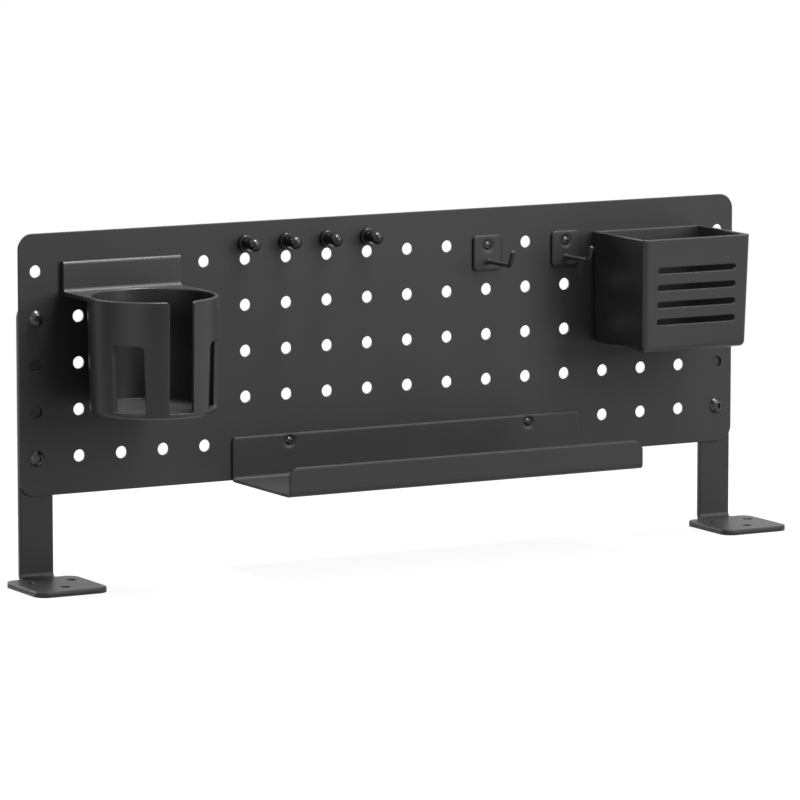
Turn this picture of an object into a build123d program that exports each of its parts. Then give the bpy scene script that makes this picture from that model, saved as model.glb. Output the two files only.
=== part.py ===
from build123d import *
import os
from math import sqrt

# Pegboard desk organizer: millimetres, X along the board, front towards -Y, Z up from the desk.

# Peg grid
hole_pitch = 30.0
hole_columns = 18
hole_rows = 5
peg_hole_d = 8.0

# Board, one flat steel sheet
board_thickness = 1.5
board_side_margin = 12.0
board_end_margin = 24.2
board_corner_r = 10.0
board_edge_r = 0.4
desk_gap = 56.0

# Legs, each one strip bent forward into a foot plate
leg_sheet = 3.5
leg_strap_width = 23.0
leg_bend_r = 2.5
leg_bolt_rows = (1, 4)
leg_hole_clearance = 0.4
foot_width = 50.0
foot_depth = 53.4
foot_corner_r = 7.9
foot_edge_r = 0.5
foot_hole_d = 6.5
foot_hole_spread = 30.0
foot_hole_back = 16.5
foot_hole_front = 39.0

# M6 button-head screws and nuts of the legs
m6_d = 6.0
m6_head_d = 10.5
m6_head_h = 3.3
m6_socket_af = 4.0
m6_nut_af = 10.0
m6_nut_h = 5.0
m6_thread_past_nut = 2.0

# M3 button-head screws, washers and nuts of the tray and the hooks
m3_d = 3.0
m3_head_d = 5.7
m3_head_h = 1.65
m3_socket_af = 2.0
m3_nut_af = 5.5
m3_nut_h = 2.4
m3_washer_d = 12.0
m3_washer_t = 1.0
m3_thread_past_nut = 1.2
m3_hole_clearance = 0.4
thread_clearance = 0.2
m3_side_gap = 0.3
dish_flare = 1.7
dish_depth = 0.6
dish_clearance = 0.4
nut_chamfer = 0.5
socket_depth_share = 0.6

# Tray, one folded sheet screwed through two peg holes
tray_sheet = 1.5
tray_bend_r = 1.5
tray_columns = (6, 12)
tray_end_overhang = 41.6
tray_depth = 80.0
tray_flange_h = 29.2
tray_lip_h = 19.2
tray_lip_corner_r = 7.0
tray_flange_corner_r = 2.0
tray_screw_below_top = 5.0
tray_shift_share = 0.634
tray_drop_share = 0.425

# J-hooks, a stamped plate with a bent wire arm
hook_columns = (11, 13)
hook_plate_w = 21.2
hook_plate_h = 23.5
hook_plate_t = 2.0
hook_plate_corner_r = 3.0
hook_plate_edge_r = 0.4
hook_screw_below_top = 7.0
hook_drop_share = 0.41
hook_wire_d = 3.0
hook_arm_above_bottom = 6.0
hook_arm_reach = 28.8
hook_arm_bend_r = 3.5
hook_tip_rise = 10.0
hook_tip_lean = 4.6
hook_tip_round = 1.0

# Tongues that hang the moulded pieces in the top row of peg holes
tongue_w = 3.4
tongue_t = 3.0
tongue_lip_t = 2.4
tongue_lip_drop = 3.2
tongue_seat_gap = 0.2
wall_gap = 0.3

# Cup holder, one moulding with a split, windowed cup
cup_tongue_columns = (1, 3)
cup_plate_overhang = 11.9
cup_plate_t = 3.0
cup_plate_rise = 5.5
cup_plate_edge_r = 1.8
cup_rim_drop = 13.7
cup_ledge_t = 2.5
cup_ledge_fillet_r = 2.0
cup_back_gap = 4.5
cup_height = 74.3
cup_rim_d = 83.3
cup_base_d = 80.4
cup_wall = 2.5
cup_floor = 3.5
cup_rim_round = 0.8
cup_base_round = 2.5
cup_slot_w = 17.0
cup_slot_corner_r = 2.5
cup_window_w = 16.8
cup_window_h = 43.0
cup_window_corner_r = 2.4
cup_window_front_inset = 6.6
cup_rib_t = 3.0

# Pen bin, one moulding with drafted walls and slotted front
bin_tongue_columns = (14, 16)
bin_left_overhang = 8.9
bin_right_overhang = 14.4
bin_depth = 66.8
bin_height = 75.2
bin_rise = 4.3
bin_side_draft = 1.5
bin_front_draft = 2.7
bin_wall = 2.0
bin_floor = 2.5
bin_edge_r = 3.8
bin_inner_edge_r = 1.8
bin_rim_round = 0.5
bin_slot_count = 4
bin_slot_length = 60.8
bin_slot_h = 4.2
bin_slot_pitch = 11.4
bin_slot_below_rim = 21.0

# Magnetic push pins, a turned grip over a disc magnet
pin_columns = (5, 6, 7, 8)
pin_base_d = 11.0
pin_base_t = 3.0
pin_base_round = 0.8
pin_waist_d = 5.6
pin_waist_l = 4.0
pin_grip_d = 8.5
pin_grip_l = 10.0
pin_grip_back_round = 1.0
pin_grip_nose_round = 4.0
pin_hole_gap = 0.5
magnet_d = 8.0
magnet_t = 2.2
magnet_clearance = 0.2

board_width = (hole_columns - 1) * hole_pitch + 2 * board_side_margin
board_height = (hole_rows - 1) * hole_pitch + 2 * board_end_margin
grid_mid_z = desk_gap + board_height / 2
leg_columns = (0, hole_columns - 1)

# The small screws are thinner than the peg holes, so what they hold sits a little off the grid.
m3_play = (peg_hole_d - m3_d) / 2 - m3_side_gap
tray_shift_x = m3_play * tray_shift_share
tray_drop = m3_play * tray_drop_share
hook_drop = m3_play * hook_drop_share


def grid_x(column):
    return (column - (hole_columns - 1) / 2) * hole_pitch


def grid_z(row):
    return grid_mid_z + ((hole_rows - 1) / 2 - row) * hole_pitch


def middle(values):
    return (min(values) + max(values)) / 2


def block(x0, x1, y0, y1, z0, z1):
    return Pos((x0 + x1) / 2, (y0 + y1) / 2, (z0 + z1) / 2) * Box(x1 - x0, y1 - y0, z1 - z0)


def rod(x, z, diameter, y0, y1):
    return Pos(x, (y0 + y1) / 2, z) * Rot(90, 0, 0) * Cylinder(diameter / 2, y1 - y0)


def front_sheet(sketch, y_back, thickness):
    # A sketch seen from the front, X right and Z up, given a thickness towards the viewer.
    return extrude(Plane.XZ.offset(-y_back) * sketch, thickness)


def side_profile(points, rounds, width):
    # A closed outline in Y and Z with some corners rounded, run along X on both sides of zero.
    face = make_face(Polyline(*points, close=True))
    for corner, radius in rounds:
        vertex = face.vertices().sort_by_distance((corner[0], corner[1], 0))[0]
        face = fillet(vertex, radius)
    return extrude(Plane.YZ * face, width / 2, both=True)


def group(shapes):
    return Part() + list(shapes)


# Fasteners

def button_screw(x, z, seat_y, shank_d, head_d, head_h, socket_af, length):
    dome_r = (head_d ** 2 / 4 + head_h ** 2) / (2 * head_h)
    head = Pos(0, dome_r - head_h, 0) * Sphere(dome_r)
    head &= block(-head_d, head_d, -2 * head_h, 0, -head_d, head_d)
    socket = Plane.XZ.offset(head_h) * RegularPolygon(socket_af / sqrt(3), 6)
    screw = head + rod(0, 0, shank_d, 0, length) - extrude(socket, -head_h * socket_depth_share)
    return Pos(x, seat_y, z) * screw


def hex_nut(x, z, seat_y, thread_d, across_flats, height):
    corner_r = across_flats / sqrt(3)
    hexagon = extrude(Plane.XZ * RegularPolygon(corner_r, 6), -height)
    turned = chamfer(rod(0, 0, 2 * corner_r, 0, height).edges().filter_by(GeomType.CIRCLE), nut_chamfer)
    nut = (hexagon & turned) - rod(0, 0, thread_d + thread_clearance, 0, height)
    return Pos(x, seat_y, z) * nut


def flat_washer(x, z, seat_y):
    return rod(x, z, m3_washer_d, seat_y, seat_y + m3_washer_t) - rod(
        x, z, m3_d + m3_hole_clearance, seat_y, seat_y + m3_washer_t)


def dished_hole(x, z, front_y, thickness):
    # A clearance hole with a shallow cone pressed around it for the screw head.
    seat_r = (m3_head_d + dish_clearance) / 2
    cone = Cone(seat_r, seat_r + dish_flare, dish_depth)
    return Pos(x, front_y + dish_depth / 2, z) * Rot(90, 0, 0) * cone + rod(
        x, z, m3_d + m3_hole_clearance, front_y, front_y + thickness)


def m3_screw(x, z, sheet):
    # Head down in the dish of a sheet that lies on the board, thread through washer and nut.
    seat_y = dish_depth - sheet
    length = board_thickness + m3_washer_t + m3_nut_h + m3_thread_past_nut - seat_y
    return button_screw(x, z, seat_y, m3_d, m3_head_d, m3_head_h, m3_socket_af, length)


def m3_nut(x, z):
    return hex_nut(x, z, board_thickness + m3_washer_t, m3_d, m3_nut_af, m3_nut_h)


# Stand

def pegboard_panel():
    outline = RectangleRounded(board_width, board_height, board_corner_r)
    holes = [place * Circle(peg_hole_d / 2)
             for place in GridLocations(hole_pitch, hole_pitch, hole_columns, hole_rows)]
    panel = front_sheet(Pos(0, grid_mid_z) * (outline - holes), board_thickness, board_thickness)
    faces = panel.faces().filter_by(Axis.Y).sort_by(Axis.Y)
    rims = faces[0].outer_wire().edges() + faces[-1].outer_wire().edges()
    return fillet(rims, board_edge_r)


def leg(x):
    front = board_thickness
    back = front + leg_sheet
    heel = front - leg_bend_r
    top_z = grid_z(leg_bolt_rows[0])
    toe = heel - foot_depth / 2
    bent = side_profile(
        [(front, top_z), (front, leg_sheet), (toe, leg_sheet), (toe, 0), (back, 0), (back, top_z)],
        [((front, leg_sheet), leg_bend_r), ((back, 0), leg_bend_r + leg_sheet)],
        leg_strap_width)
    plate = extrude(Pos(0, toe) * RectangleRounded(foot_width, foot_depth, foot_corner_r), leg_sheet)
    plate = fillet(plate.faces().sort_by(Axis.Z)[-1].outer_wire().edges(), foot_edge_r)
    shape = bent + rod(0, top_z, leg_strap_width, front, back) + plate
    for row in leg_bolt_rows:
        shape -= rod(0, grid_z(row), m6_d + leg_hole_clearance, front, back)
    for hole_x, hole_y in foot_holes():
        shape -= Pos(hole_x, hole_y, leg_sheet / 2) * Cylinder(foot_hole_d / 2, leg_sheet)
    return Pos(x, 0, 0) * shape


def foot_holes():
    heel = board_thickness - leg_bend_r
    return ((-foot_hole_spread / 2, heel - foot_hole_back),
            (foot_hole_spread / 2, heel - foot_hole_back),
            (0, heel - foot_hole_front))


def leg_bolt_places():
    return [(grid_x(column), grid_z(row)) for column in leg_columns for row in leg_bolt_rows]


def leg_screw(x, z):
    length = board_thickness + leg_sheet + m6_nut_h + m6_thread_past_nut
    return button_screw(x, z, 0, m6_d, m6_head_d, m6_head_h, m6_socket_af, length)


def leg_nut(x, z):
    return hex_nut(x, z, board_thickness + leg_sheet, m6_d, m6_nut_af, m6_nut_h)


# Tray

def tray_screw_places():
    return [(grid_x(column) + tray_shift_x, grid_z(hole_rows - 1) - tray_drop) for column in tray_columns]


def shelf_tray():
    length = grid_x(tray_columns[1]) - grid_x(tray_columns[0]) + 2 * tray_end_overhang
    top = grid_z(hole_rows - 1) - tray_drop + tray_screw_below_top
    floor = top - tray_flange_h
    lip_top = floor + tray_lip_h
    inner = tray_sheet
    tray = side_profile(
        [(0, top), (0, floor), (-tray_depth, floor), (-tray_depth, lip_top),
         (inner - tray_depth, lip_top), (inner - tray_depth, floor + inner),
         (-inner, floor + inner), (-inner, top)],
        [((0, floor), tray_bend_r + inner), ((-tray_depth, floor), tray_bend_r + inner),
         ((inner - tray_depth, floor + inner), tray_bend_r), ((-inner, floor + inner), tray_bend_r)],
        length)
    for level, radius in ((lip_top, tray_lip_corner_r), (top, tray_flange_corner_r)):
        corners = tray.edges().filter_by(Axis.Y).filter_by_position(Axis.Z, level - 0.1, level + 0.1)
        tray = fillet(corners, radius)
    tray = Pos(middle([x for x, z in tray_screw_places()]), 0, 0) * tray
    for x, z in tray_screw_places():
        tray -= dished_hole(x, z, -tray_sheet, tray_sheet)
    return tray


# J-hooks

def hook_screw_place(column):
    return grid_x(column), grid_z(0) - hook_drop


def hook_plate(column):
    x, z = hook_screw_place(column)
    outline = Pos(x, z + hook_screw_below_top - hook_plate_h / 2) * RectangleRounded(
        hook_plate_w, hook_plate_h, hook_plate_corner_r)
    plate = front_sheet(outline, 0, hook_plate_t)
    plate = fillet(plate.faces().sort_by(Axis.Y)[0].outer_wire().edges(), hook_plate_edge_r)
    return plate - dished_hole(x, z, -hook_plate_t, hook_plate_t)


def hook_arm(column):
    x, screw_z = hook_screw_place(column)
    z = screw_z + hook_screw_below_top - hook_plate_h + hook_arm_above_bottom
    corner_y = -hook_plate_t - hook_arm_reach
    path = FilletPolyline(
        (x, -hook_plate_t, z), (x, corner_y, z), (x, corner_y - hook_tip_lean, z + hook_tip_rise),
        radius=hook_arm_bend_r)
    section = Plane(origin=path @ 0, z_dir=path % 0) * Circle(hook_wire_d / 2)
    arm = sweep(section, path)
    return fillet(arm.faces().sort_by(Axis.Z)[-1].edges(), hook_tip_round)


# Moulded pieces that hang by tongues

tongue_chord = sqrt((peg_hole_d / 2) ** 2 - (tongue_w / 2) ** 2)
tongue_z = grid_z(0) - tongue_chord + tongue_seat_gap
lift_travel = 2 * (tongue_chord - tongue_seat_gap) - tongue_t


def tongue(column, root_t):
    # A flat tongue through a peg hole with a lip that drops behind the board.
    x0 = grid_x(column) - tongue_w / 2
    x1 = grid_x(column) + tongue_w / 2
    lip_front = board_thickness + wall_gap
    lip_back = lip_front + tongue_lip_t
    shank = block(x0, x1, -wall_gap - root_t / 2, lip_back, tongue_z, tongue_z + tongue_t)
    return shank + block(x0, x1, lip_front, lip_back, tongue_z - tongue_lip_drop, tongue_z)


cup_axis_y = -cup_back_gap - cup_rim_d / 2


def cup_bracket(half_w, rim):
    # Back plate and rim ledge, one angle with a rounded inside corner.
    top = grid_z(0) + cup_plate_rise
    under = rim - cup_ledge_t
    face = -wall_gap - cup_plate_t
    return side_profile(
        [(-wall_gap, under), (cup_axis_y, under), (cup_axis_y, rim), (face, rim), (face, top),
         (-wall_gap, top)],
        [((face, rim), cup_ledge_fillet_r), ((face, top), cup_plate_edge_r)],
        2 * half_w)


def cup_slot():
    # The front split seen from the front, measured up from the base, with rounded lips at the rim.
    stem = Pos(0, (cup_floor + cup_height) / 2) * Rectangle(cup_slot_w, cup_height - cup_floor)
    above = Pos(0, cup_height + cup_floor / 2) * Rectangle(2 * cup_slot_w, cup_floor)
    outline = stem + above
    lips = [corner for corner in outline.vertices()
            if abs(corner.Y - cup_height) < 0.1 and abs(corner.X) < cup_slot_w * 0.75]
    return front_sheet(fillet(lips, cup_slot_corner_r), 0, cup_rim_d)


def cup_windows():
    # Two windows cut straight through sideways, from one side of the cup to the other.
    front = cup_window_front_inset - cup_base_d / 2
    outline = Pos(front + cup_window_w / 2, cup_floor + cup_window_h / 2) * Rectangle(
        cup_window_w, cup_window_h)
    outline = fillet(outline.vertices().group_by(Axis.Y)[-1], cup_window_corner_r)
    return extrude(Plane.YZ * outline, cup_rim_d, both=True)


def cup_holder():
    x = middle([grid_x(column) for column in cup_tongue_columns])
    half_w = grid_x(cup_tongue_columns[1]) - x + cup_plate_overhang
    rim = grid_z(0) - cup_rim_drop
    base = rim - cup_height
    lean = (cup_rim_d - cup_base_d) / 2 / cup_height
    floor_r = cup_base_d / 2 + lean * cup_floor - cup_wall
    depth = cup_height - cup_floor
    at_base = Pos(0, cup_axis_y, base)
    outside = Pos(0, 0, cup_height / 2) * Cone(cup_base_d / 2, cup_rim_d / 2, cup_height)
    outside = fillet(outside.faces().sort_by(Axis.Z)[0].edges(), cup_base_round)
    inside = Pos(0, 0, cup_floor + depth / 2) * Cone(floor_r, cup_rim_d / 2 - cup_wall, depth)
    rib = block(-cup_rib_t / 2, cup_rib_t / 2, cup_axis_y, -wall_gap, base, rim - cup_ledge_t)
    cup = cup_bracket(half_w, rim) + at_base * outside + rib
    cup -= at_base * inside
    mouth = [edge for edge in cup.edges().filter_by(GeomType.CIRCLE) if abs(edge.center().Z - rim) < 0.1]
    cup = fillet(mouth, cup_rim_round)
    cup -= at_base * cup_slot()
    cup -= at_base * cup_windows()
    cup = Pos(x, 0, 0) * cup
    return cup + [tongue(column, cup_plate_t) for column in cup_tongue_columns]


def drafted_box(x0, x1, depth, bottom, top, back_y, edge_r):
    # A box with a plumb back wall whose sides and front lean in towards the bottom.
    def ring(z, side_in, front_in):
        width = x1 - x0 - 2 * side_in
        length = depth - front_in
        return Plane.XY.offset(z) * Pos((x0 + x1) / 2, back_y - length / 2) * Rectangle(width, length)

    share = (top - bottom) / bin_height
    low = ring(bottom, bin_side_draft * share, bin_front_draft * share)
    body = loft([low, ring(top, 0, 0)], ruled=True)
    below_rim = [edge for edge in body.edges() if edge.center().Z < top - 1]
    return fillet(below_rim, edge_r)


def pen_bin():
    x0 = grid_x(bin_tongue_columns[0]) - bin_left_overhang
    x1 = grid_x(bin_tongue_columns[1]) + bin_right_overhang
    rim = grid_z(0) + bin_rise
    base = rim - bin_height
    back = -wall_gap
    body = drafted_box(x0, x1, bin_depth, base, rim, back, bin_edge_r)
    hollow = drafted_box(x0 + bin_wall, x1 - bin_wall, bin_depth - 2 * bin_wall,
                         base + bin_floor, rim, back - bin_wall, bin_inner_edge_r)
    body -= hollow
    body = fillet(body.faces().sort_by(Axis.Z)[-1].edges(), bin_rim_round)
    for index in range(bin_slot_count):
        z = rim - bin_slot_below_rim - index * bin_slot_pitch
        slot = Pos((x0 + x1) / 2, z) * SlotOverall(bin_slot_length, bin_slot_h)
        body -= front_sheet(slot, back - bin_depth / 2, bin_depth)
    return body + [tongue(column, bin_wall) for column in bin_tongue_columns]


# Push pins

def pin_place(column):
    rise = (pin_base_d + peg_hole_d) / 2 + pin_hole_gap
    return grid_x(column), grid_z(0) + rise


def front_edge(shape):
    return shape.faces().sort_by(Axis.Y)[0].edges()


def back_edge(shape):
    return shape.faces().sort_by(Axis.Y)[-1].edges()


def pin_grip(column):
    x, z = pin_place(column)
    neck_y = -pin_base_t - pin_waist_l
    base = rod(x, z, pin_base_d, -pin_base_t, 0)
    base = fillet(front_edge(base), pin_base_round)
    grip = rod(x, z, pin_grip_d, neck_y - pin_grip_l, neck_y)
    grip = fillet(front_edge(grip), pin_grip_nose_round)
    grip = fillet(back_edge(grip), pin_grip_back_round)
    waist = rod(x, z, pin_waist_d, neck_y - pin_grip_l / 2, -pin_base_t / 2)
    pocket = rod(x, z, magnet_d + magnet_clearance, -magnet_t, 0)
    return base + waist + grip - pocket


def pin_magnet(column):
    x, z = pin_place(column)
    return rod(x, z, magnet_d, -magnet_t, 0)


nodes = {
    "pegboard_panel": pegboard_panel(),
    "left_leg": leg(grid_x(leg_columns[0])),
    "right_leg": leg(grid_x(leg_columns[1])),
    "leg_screws": group(leg_screw(x, z) for x, z in leg_bolt_places()),
    "leg_nuts": group(leg_nut(x, z) for x, z in leg_bolt_places()),
    "shelf_tray": shelf_tray(),
    "tray_screws": group(m3_screw(x, z, tray_sheet) for x, z in tray_screw_places()),
    "tray_washers": group(flat_washer(x, z, board_thickness) for x, z in tray_screw_places()),
    "tray_nuts": group(m3_nut(x, z) for x, z in tray_screw_places()),
    "left_hook_plate": hook_plate(hook_columns[0]),
    "left_hook_arm": hook_arm(hook_columns[0]),
    "right_hook_plate": hook_plate(hook_columns[1]),
    "right_hook_arm": hook_arm(hook_columns[1]),
    "hook_screws": group(m3_screw(*hook_screw_place(column), hook_plate_t) for column in hook_columns),
    "hook_washers": group(flat_washer(*hook_screw_place(column), board_thickness) for column in hook_columns),
    "hook_nuts": group(m3_nut(*hook_screw_place(column)) for column in hook_columns),
    "cup_holder": cup_holder(),
    "pen_bin": pen_bin(),
}
for number, column in enumerate(pin_columns, start=1):
    nodes[f"pin_{number}_grip"] = pin_grip(column)
    nodes[f"pin_{number}_magnet"] = pin_magnet(column)

# The origin is the middle of the footprint of everything, on the desk.
boxes = [shape.bounding_box() for shape in nodes.values()]
middle_x = (min(box.min.X for box in boxes) + max(box.max.X for box in boxes)) / 2
middle_y = (min(box.min.Y for box in boxes) + max(box.max.Y for box in boxes)) / 2
to_origin = Pos(-middle_x, -middle_y, 0)

os.makedirs("parts", exist_ok=True)
for name, shape in nodes.items():
    export_step(to_origin * shape, f"parts/{name}.step")
print(f"origin moved by {-middle_x:.3f}, {-middle_y:.3f}; hung pieces lift {lift_travel:.3f}")
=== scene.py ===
import bmesh
import bpy
import math
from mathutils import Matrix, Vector


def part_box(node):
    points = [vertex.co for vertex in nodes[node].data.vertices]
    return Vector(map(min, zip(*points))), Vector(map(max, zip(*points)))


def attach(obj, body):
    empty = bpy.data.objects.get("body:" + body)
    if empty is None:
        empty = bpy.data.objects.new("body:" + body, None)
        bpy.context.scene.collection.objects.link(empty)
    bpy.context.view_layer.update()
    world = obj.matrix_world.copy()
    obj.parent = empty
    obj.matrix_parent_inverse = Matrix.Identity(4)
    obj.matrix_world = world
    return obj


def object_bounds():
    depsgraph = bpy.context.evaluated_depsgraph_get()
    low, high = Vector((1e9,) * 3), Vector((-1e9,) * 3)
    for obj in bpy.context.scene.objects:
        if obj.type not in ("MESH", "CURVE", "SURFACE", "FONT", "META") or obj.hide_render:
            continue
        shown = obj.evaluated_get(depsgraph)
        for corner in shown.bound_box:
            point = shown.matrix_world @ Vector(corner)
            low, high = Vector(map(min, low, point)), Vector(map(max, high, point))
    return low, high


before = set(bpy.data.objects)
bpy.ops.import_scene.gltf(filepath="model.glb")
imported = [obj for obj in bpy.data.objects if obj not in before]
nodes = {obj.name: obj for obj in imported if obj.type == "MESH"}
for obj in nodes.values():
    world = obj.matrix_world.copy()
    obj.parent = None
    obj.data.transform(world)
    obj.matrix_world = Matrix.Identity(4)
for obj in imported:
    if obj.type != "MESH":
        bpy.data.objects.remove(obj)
cadLow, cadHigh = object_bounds()
mm = 0.001
print("frame loaded:", len(nodes), "pieces")


# Small helpers

def hexToLinear(code):  # sRGB hex, as picked in any colour tool, to Blender's linear values
    values = [int(code[i:i + 2], 16) / 255 for i in (1, 3, 5)]
    linear = [v / 12.92 if v <= 0.04045 else ((v + 0.055) / 1.055) ** 2.4 for v in values]
    return (*linear, 1.0)


def addNode(tree, kind, sockets=None, links=None, **settings):
    node = tree.nodes.new(kind)
    for name, value in settings.items():
        setattr(node, name, value)
    for name, value in (sockets or {}).items():
        node.inputs[name].default_value = value
    for name, source in (links or {}).items():
        tree.links.new(source, node.inputs[name])
    return node


def startMaterial(name):
    material = bpy.data.materials.new(name)
    material.use_nodes = True
    tree = material.node_tree
    tree.nodes.clear()
    return material, tree


def cellsPerMetre(sizeMm):  # noise scale for a grain of that size
    return 1 / (sizeMm * mm)


def addMeshObject(name, mesh):
    meshObject = bpy.data.objects.new(name, mesh)
    bpy.context.scene.collection.objects.link(meshObject)
    return meshObject


def flatPlate(name, acrossHalf, upHalf):
    mesh = bpy.data.meshes.new(name)
    corners = [(-acrossHalf, -upHalf, 0), (acrossHalf, -upHalf, 0),
               (acrossHalf, upHalf, 0), (-acrossHalf, upHalf, 0)]
    mesh.from_pydata(corners, [], [(0, 1, 2, 3)])
    return mesh


def meshFromWork(name, work, material):
    bmesh.ops.recalc_face_normals(work, faces=work.faces)
    mesh = bpy.data.meshes.new(name)
    work.to_mesh(mesh)
    work.free()
    mesh.materials.append(material)
    return mesh


# Finishes

skinBuild = {
    "noiseSpan": (0.3, 0.7), "cloudDetail": 2.0, "grainDetail": 3.0,  # noise seldom leaves that span
    "reliefShare": 0.1, "edgeSamples": 6,  # grain stands a tenth of its width high
}


def coat(name, look):
    # one skin for every finish here: drifting tone, fine grain in gloss and bump, softened edges
    material, tree = startMaterial(name)
    place = addNode(tree, "ShaderNodeTexCoord").outputs["Object"]
    cloud = addNode(tree, "ShaderNodeTexNoise",
                    {"Scale": cellsPerMetre(look["cloudMm"]), "Detail": skinBuild["cloudDetail"]},
                    {"Vector": place})
    tone = addNode(tree, "ShaderNodeValToRGB", links={"Fac": cloud.outputs["Fac"]})
    shades = (look["dark"], look["light"])
    for stop, position, code in zip(tone.color_ramp.elements, skinBuild["noiseSpan"], shades):
        stop.position = position
        stop.color = hexToLinear(code)
    grain = addNode(tree, "ShaderNodeTexNoise",
                    {"Scale": cellsPerMetre(look["grainMm"]), "Detail": skinBuild["grainDetail"]},
                    {"Vector": place})
    spanLow, spanHigh = skinBuild["noiseSpan"]
    gloss = addNode(tree, "ShaderNodeMapRange",
                    {"From Min": spanLow, "From Max": spanHigh,
                     "To Min": look["roughness"] - look["glossDrift"],
                     "To Max": look["roughness"] + look["glossDrift"]},
                    {"Value": grain.outputs["Fac"]})
    edge = addNode(tree, "ShaderNodeBevel", {"Radius": look["edgeMm"] * mm},
                   samples=skinBuild["edgeSamples"])
    relief = addNode(tree, "ShaderNodeBump",
                     {"Strength": look["bump"],
                      "Distance": look["grainMm"] * skinBuild["reliefShare"] * mm},
                     {"Height": grain.outputs["Fac"], "Normal": edge.outputs["Normal"]})
    skin = addNode(tree, "ShaderNodeBsdfPrincipled",
                   {"Metallic": look.get("metallic", 0.0), "IOR": look.get("ior", 1.5),
                    "Specular IOR Level": look.get("specular", 0.5)},
                   {"Base Color": tone.outputs["Color"], "Roughness": gloss.outputs["Result"],
                    "Normal": relief.outputs["Normal"]})
    addNode(tree, "ShaderNodeOutputMaterial", links={"Surface": skin.outputs["BSDF"]})
    return material


def dress(material, *nodeNames):
    for nodeName in nodeNames:
        nodes[nodeName].data.materials.clear()
        nodes[nodeName].data.materials.append(material)


# Powder-coated steel: sprayed dry and baked, which leaves a soft satin and a faint orange peel
powderCoat = {
    "dark": "#272728", "light": "#2c2c2d",
    "cloudMm": 60, "grainMm": 1.2,  # real peel is finer, drawn coarser so that it shows
    "roughness": 0.42, "glossDrift": 0.03, "bump": 0.12, "edgeMm": 0.5, "ior": 1.5, "specular": 0.28,
}
powderCoatedSteel = coat("powderCoatedSteel", powderCoat)
dress(powderCoatedSteel, "pegboard_panel", "left_hook_arm", "right_hook_arm")

# The same coat on cut and folded sheet: it flows and builds up along the edges, which rounds them
foldedCoat = {**powderCoat, "edgeMm": 2.2}
foldedSheetSteel = coat("foldedSheetSteel", foldedCoat)
dress(foldedSheetSteel, "left_leg", "right_leg", "shelf_tray", "left_hook_plate", "right_hook_plate")

# Moulded ABS: the spark-eroded mould leaves an even matte grain
matteAbs = {
    "dark": "#282829", "light": "#2e2e2f",
    "cloudMm": 45, "grainMm": 0.9,  # real grain is a tenth of that, drawn coarser so that it shows
    "roughness": 0.38, "glossDrift": 0.03, "bump": 0.1, "edgeMm": 1.0, "ior": 1.53, "specular": 0.3,
}
mouldedAbs = coat("mouldedAbs", matteAbs)
dress(mouldedAbs, "cup_holder", "pen_bin")

# Black-oxide steel: a thin blackened skin on turned steel, dark with a soft bright spot
blackOxide = {
    "dark": "#121213", "light": "#191919",
    "cloudMm": 5, "grainMm": 0.5,  # turning marks are finer, drawn coarser so that they show
    "roughness": 0.32, "glossDrift": 0.03, "bump": 0.04, "edgeMm": 0.3, "ior": 1.8, "specular": 0.28,
}
blackOxideSteel = coat("blackOxideSteel", blackOxide)
dress(blackOxideSteel, "leg_screws", "leg_nuts", "tray_screws", "tray_washers", "tray_nuts",
      "hook_screws", "hook_washers", "hook_nuts")

# Moulded polystyrene: the pin grips come smooth out of the mould, nearly black
pinGloss = {
    "dark": "#0c0c0d", "light": "#101011", "cloudMm": 8, "grainMm": 0.8,
    "roughness": 0.3, "glossDrift": 0.02, "bump": 0.02, "edgeMm": 0.25, "ior": 1.59, "specular": 0.26,
}
polishedPolystyrene = coat("polishedPolystyrene", pinGloss)
dress(polishedPolystyrene, *(f"pin_{number}_grip" for number in range(1, 5)))

# Nickel-plated magnet: bright and slightly warm
nickel = {
    "dark": "#a9a59c", "light": "#bdb9b0", "cloudMm": 4, "grainMm": 0.5,
    "roughness": 0.22, "glossDrift": 0.03, "bump": 0.03, "edgeMm": 0.2, "metallic": 1.0,
}
nickelPlate = coat("nickelPlate", nickel)
dress(nickelPlate, *(f"pin_{number}_magnet" for number in range(1, 5)))
print("finishes on")


# Weld beads where the hook wires meet their plates, under the same powder coat

bead = {
    "wireRadiusMm": 1.5, "sizeMm": 0.7, "ripple": 0.07, "ripples": 11,  # ripple is a share of the size
    "around": 66, "across": 12,
}


def addWeldBead(armName):
    armLow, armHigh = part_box(armName)
    centre = Vector(((armLow.x + armHigh.x) / 2, armHigh.y, armLow.z + bead["wireRadiusMm"] * mm))
    work = bmesh.new()
    rings = []
    for step in range(bead["around"]):
        turn = 2 * math.pi * step / bead["around"]
        size = bead["sizeMm"] * (1 + bead["ripple"] * math.sin(bead["ripples"] * turn))
        ring = []
        for part in range(bead["across"]):
            angle = 2 * math.pi * part / bead["across"]
            reach = (bead["wireRadiusMm"] + size * math.cos(angle)) * mm
            lift = max(size * math.sin(angle), 0.0) * mm  # flat where it lies on the plate
            offset = Vector((reach * math.cos(turn), -lift, reach * math.sin(turn)))
            ring.append(work.verts.new(centre + offset))
        rings.append(ring)
    for step, ring in enumerate(rings):
        after = rings[(step + 1) % len(rings)]
        for part in range(len(ring)):
            beyond = (part + 1) % len(ring)
            work.faces.new((ring[part], ring[beyond], after[beyond], after[part]))
    mesh = meshFromWork(armName + "_weld", work, powderCoatedSteel)
    mesh.shade_smooth()
    weld = addMeshObject(armName + "_weld", mesh)
    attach(weld, "stand")


addWeldBead("left_hook_arm")
addWeldBead("right_hook_arm")
print("welds on")


# Screw threads where they show behind the nuts

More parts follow.
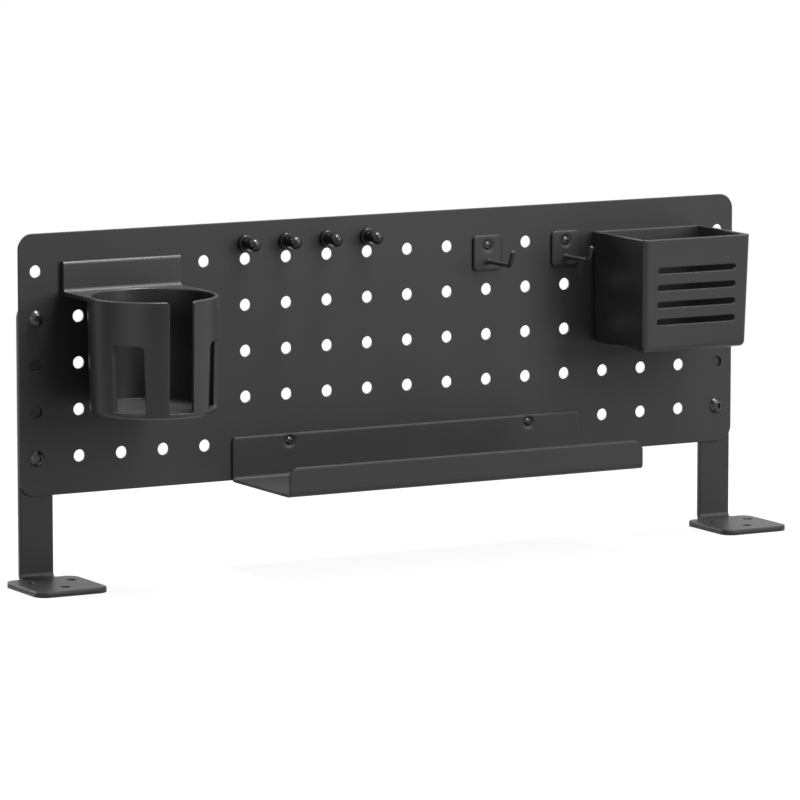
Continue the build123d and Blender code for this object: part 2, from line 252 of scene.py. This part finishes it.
threads = {
    "leg_screws": {"nuts": "leg_nuts", "headMm": 10.5, "threadMm": 6.0, "pitchMm": 1.0},
    "tray_screws": {"nuts": "tray_nuts", "headMm": 5.7, "threadMm": 3.0, "pitchMm": 0.5},
    "hook_screws": {"nuts": "hook_nuts", "headMm": 5.7, "threadMm": 3.0, "pitchMm": 0.5},
}
ridgeForm = {
    "crestShare": 0.25, "rootShare": 0.97,  # crest height by the pitch, foot sunk into the shank
    "footLead": 0.05, "crestLead": 0.5, "endLead": 0.95, "stepsPerTurn": 36, "placeDigits": 5,
}


def addThread(screwName, thread):
    low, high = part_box(screwName)
    inset = thread["headMm"] / 2 * mm
    acrossPlaces = (low.x + inset, high.x - inset)
    digits = ridgeForm["placeDigits"]
    upPlaces = {round(low.z + inset, digits), round(high.z - inset, digits)}  # one row or two
    pitch = thread["pitchMm"] * mm
    root = thread["threadMm"] / 2 * mm
    foot = root * ridgeForm["rootShare"]
    crest = root + ridgeForm["crestShare"] * pitch
    section = ((foot, ridgeForm["footLead"]), (crest, ridgeForm["crestLead"]),
               (foot, ridgeForm["endLead"]))
    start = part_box(thread["nuts"])[1].y
    stepsPerTurn = ridgeForm["stepsPerTurn"]
    steps = int((high.y - start - pitch) / pitch * stepsPerTurn)
    work = bmesh.new()
    for x in acrossPlaces:
        for z in sorted(upPlaces):
            rows = []
            for step in range(steps + 1):
                turn = 2 * math.pi * step / stepsPerTurn
                along = start + pitch * step / stepsPerTurn
                rows.append([
                    work.verts.new((x + r * math.cos(turn), along + lead * pitch, z + r * math.sin(turn)))
                    for r, lead in section])
            for here, after in zip(rows, rows[1:]):
                for side in range(len(section)):
                    beyond = (side + 1) % len(section)
                    work.faces.new((here[side], here[beyond], after[beyond], after[side]))
            work.faces.new(rows[0])
            work.faces.new(rows[-1])
    mesh = meshFromWork(screwName + "_thread", work, blackOxideSteel)
    ridge = addMeshObject(screwName + "_thread", mesh)
    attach(ridge, "stand")


for screwName, thread in threads.items():
    addThread(screwName, thread)
print("threads on")


# Studio

studio = {
    "floorHalf": 20.0, "floorDrop": 0.0002,  # a hair under the feet, so no faces coincide
    "floorWhite": "#ffffff", "floorBounce": "#5a5a5a",  # the room swallows most of the bounce
    "glowNear": 0.9, "glowFar": 1.0,  # pure white away from the contact shadow
    "glowFromM": 0.3, "glowToM": 0.8,
    "roomTone": 0.06, "cardBlack": "#0a0a0a",
}
lamps = {
    # low right, mirrored in the board
    "keySoftbox": {"power": 15.0, "place": (1.35, -2.07, 0.66), "size": (0.9, 0.6)},
    # same side, higher
    "frontSoftbox": {"power": 26.0, "place": (1.13, -1.88, 1.4), "size": (1.0, 0.8)},
    # overhead, lifts upper edges
    "topSoftbox": {"power": 42.0, "place": (0.16, -0.03, 1.5), "size": (0.5, 0.3)},
    # pale band on the round cup
    "leftSoftbox": {"power": 2.8, "place": (-1.52, -0.71, 0.27), "size": (0.9, 0.5)},
    # shows the back of the board
    "backSoftbox": {"power": 26.0, "place": (-0.9, 1.5, 1.1), "size": (1.0, 0.8)},
    # glints on heads and pins
    "sparkLamp": {"power": 15.0, "place": (0.59, -1.02, 1.76), "size": (0.42, 0.42)},
}
cards = {  # black cards that only gloss sees: they edge the pale band with a darker tone on each side
    "frontCard": {"place": (-0.44, -0.88, 0.18), "size": (0.6, 0.35)},
    "backCard": {"place": (-0.83, 0.29, 0.18), "size": (0.43, 0.35)},
}


def seenRays(tree):  # 1 for what is seen directly, in gloss or through clear pieces
    path = addNode(tree, "ShaderNodeLightPath")
    seen = addNode(tree, "ShaderNodeMath", operation="MAXIMUM",
                   links={0: path.outputs["Is Camera Ray"], 1: path.outputs["Is Glossy Ray"]})
    seen = addNode(tree, "ShaderNodeMath", operation="MAXIMUM",
                   links={0: seen.outputs[0], 1: path.outputs["Is Transmission Ray"]})
    return seen.outputs[0]


def addFloor():
    mesh = flatPlate("floor", studio["floorHalf"], studio["floorHalf"])
    floor = addMeshObject("floor", mesh)
    floor.location.z = -studio["floorDrop"]
    material, tree = startMaterial("paperSweep")  # seamless white paper, bright to the eye and in gloss
    white = hexToLinear(studio["floorWhite"])
    seen = seenRays(tree)
    place = addNode(tree, "ShaderNodeTexCoord").outputs["Object"]
    away = addNode(tree, "ShaderNodeVectorMath", links={0: place}, operation="LENGTH").outputs["Value"]
    reach = addNode(tree, "ShaderNodeMapRange",
                    {"From Min": studio["glowFromM"], "From Max": studio["glowToM"],
                     "To Min": studio["glowNear"], "To Max": studio["glowFar"]}, {"Value": away})
    share = addNode(tree, "ShaderNodeMath", links={0: seen, 1: reach.outputs["Result"]},
                    operation="MULTIPLY")
    shade = addNode(tree, "ShaderNodeMix", {6: hexToLinear(studio["floorBounce"]), 7: white}, {0: seen},
                    data_type="RGBA")  # sockets 6 and 7 are the two colours
    paper = addNode(tree, "ShaderNodeBsdfDiffuse", links={"Color": shade.outputs[2]})
    glow = addNode(tree, "ShaderNodeEmission", {"Color": white, "Strength": 1.0})
    mix = addNode(tree, "ShaderNodeMixShader",
                  links={0: share.outputs[0], 1: paper.outputs[0], 2: glow.outputs[0]})
    addNode(tree, "ShaderNodeOutputMaterial", links={"Surface": mix.outputs[0]})
    mesh.materials.append(material)


def addLamp(name, lamp, aim):
    light = bpy.data.lights.new(name, "AREA")
    light.shape = "RECTANGLE"
    light.energy = lamp["power"]
    light.size, light.size_y = lamp["size"]
    lampObject = bpy.data.objects.new(name, light)
    lampObject.location = lamp["place"]
    lampObject.rotation_euler = (aim - Vector(lamp["place"])).to_track_quat("-Z", "Y").to_euler()
    bpy.context.scene.collection.objects.link(lampObject)


def addCard(name, card, aim):
    across, up = card["size"]
    mesh = flatPlate(name, across / 2, up / 2)
    board = addMeshObject(name, mesh)
    board.location = card["place"]
    level = Vector((aim.x, aim.y, card["place"][2]))  # stands upright
    board.rotation_euler = (level - board.location).to_track_quat("-Z", "Y").to_euler()
    board.visible_camera = board.visible_diffuse = board.visible_shadow = False
    material, tree = startMaterial("blackCard")
    felt = addNode(tree, "ShaderNodeBsdfDiffuse", {"Color": hexToLinear(studio["cardBlack"])})
    addNode(tree, "ShaderNodeOutputMaterial", links={"Surface": felt.outputs[0]})
    mesh.materials.append(material)


def addWorld():
    world = bpy.data.worlds.new("studioRoom")
    bpy.context.scene.world = world
    world.use_nodes = True
    tree = world.node_tree
    tree.nodes.clear()
    tone = addNode(tree, "ShaderNodeMapRange", {"To Min": studio["roomTone"], "To Max": 1.0},
                   {"Value": seenRays(tree)})
    sky = addNode(tree, "ShaderNodeBackground", {"Color": (1, 1, 1, 1)},
                  {"Strength": tone.outputs["Result"]})
    addNode(tree, "ShaderNodeOutputWorld", links={"Surface": sky.outputs[0]})


addFloor()
addWorld()
middle = (cadLow + cadHigh) / 2
for name, lamp in lamps.items():
    addLamp(name, lamp, middle)
cupLow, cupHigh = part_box("cup_holder")
for name, card in cards.items():
    addCard(name, card, (cupLow + cupHigh) / 2)
print("studio lit")


# Camera, solved from the grid of peg holes

view = {
    "imagePixels": 800, "focalPixels": 5755.15, "sensorMm": 36.0,
    "fromGrid": (-1.814617, -3.281467, 0.475970),  # from the grid's middle, on the board's front
    "yawDeg": 29.074, "pitchDeg": 7.824, "shiftPixels": (-0.565, 0.15),
}
camera = bpy.data.cameras.new("photoCamera")
camera.sensor_width = view["sensorMm"]
camera.lens = view["sensorMm"] * view["focalPixels"] / view["imagePixels"]
camera.shift_x, camera.shift_y = (pixels / view["imagePixels"] for pixels in view["shiftPixels"])
boardLow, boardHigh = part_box("pegboard_panel")
boardMiddle = (boardLow + boardHigh) / 2
gridMiddle = Vector((boardMiddle.x, boardLow.y, boardMiddle.z))
cameraObject = bpy.data.objects.new("photoCamera", camera)
cameraObject.location = gridMiddle + Vector(view["fromGrid"])
cameraObject.rotation_euler = (math.radians(90 - view["pitchDeg"]), 0, math.radians(-view["yawDeg"]))
bpy.context.scene.collection.objects.link(cameraObject)
bpy.context.scene.camera = cameraObject
bpy.context.scene.view_settings.view_transform = "Standard"

print("scene ready")
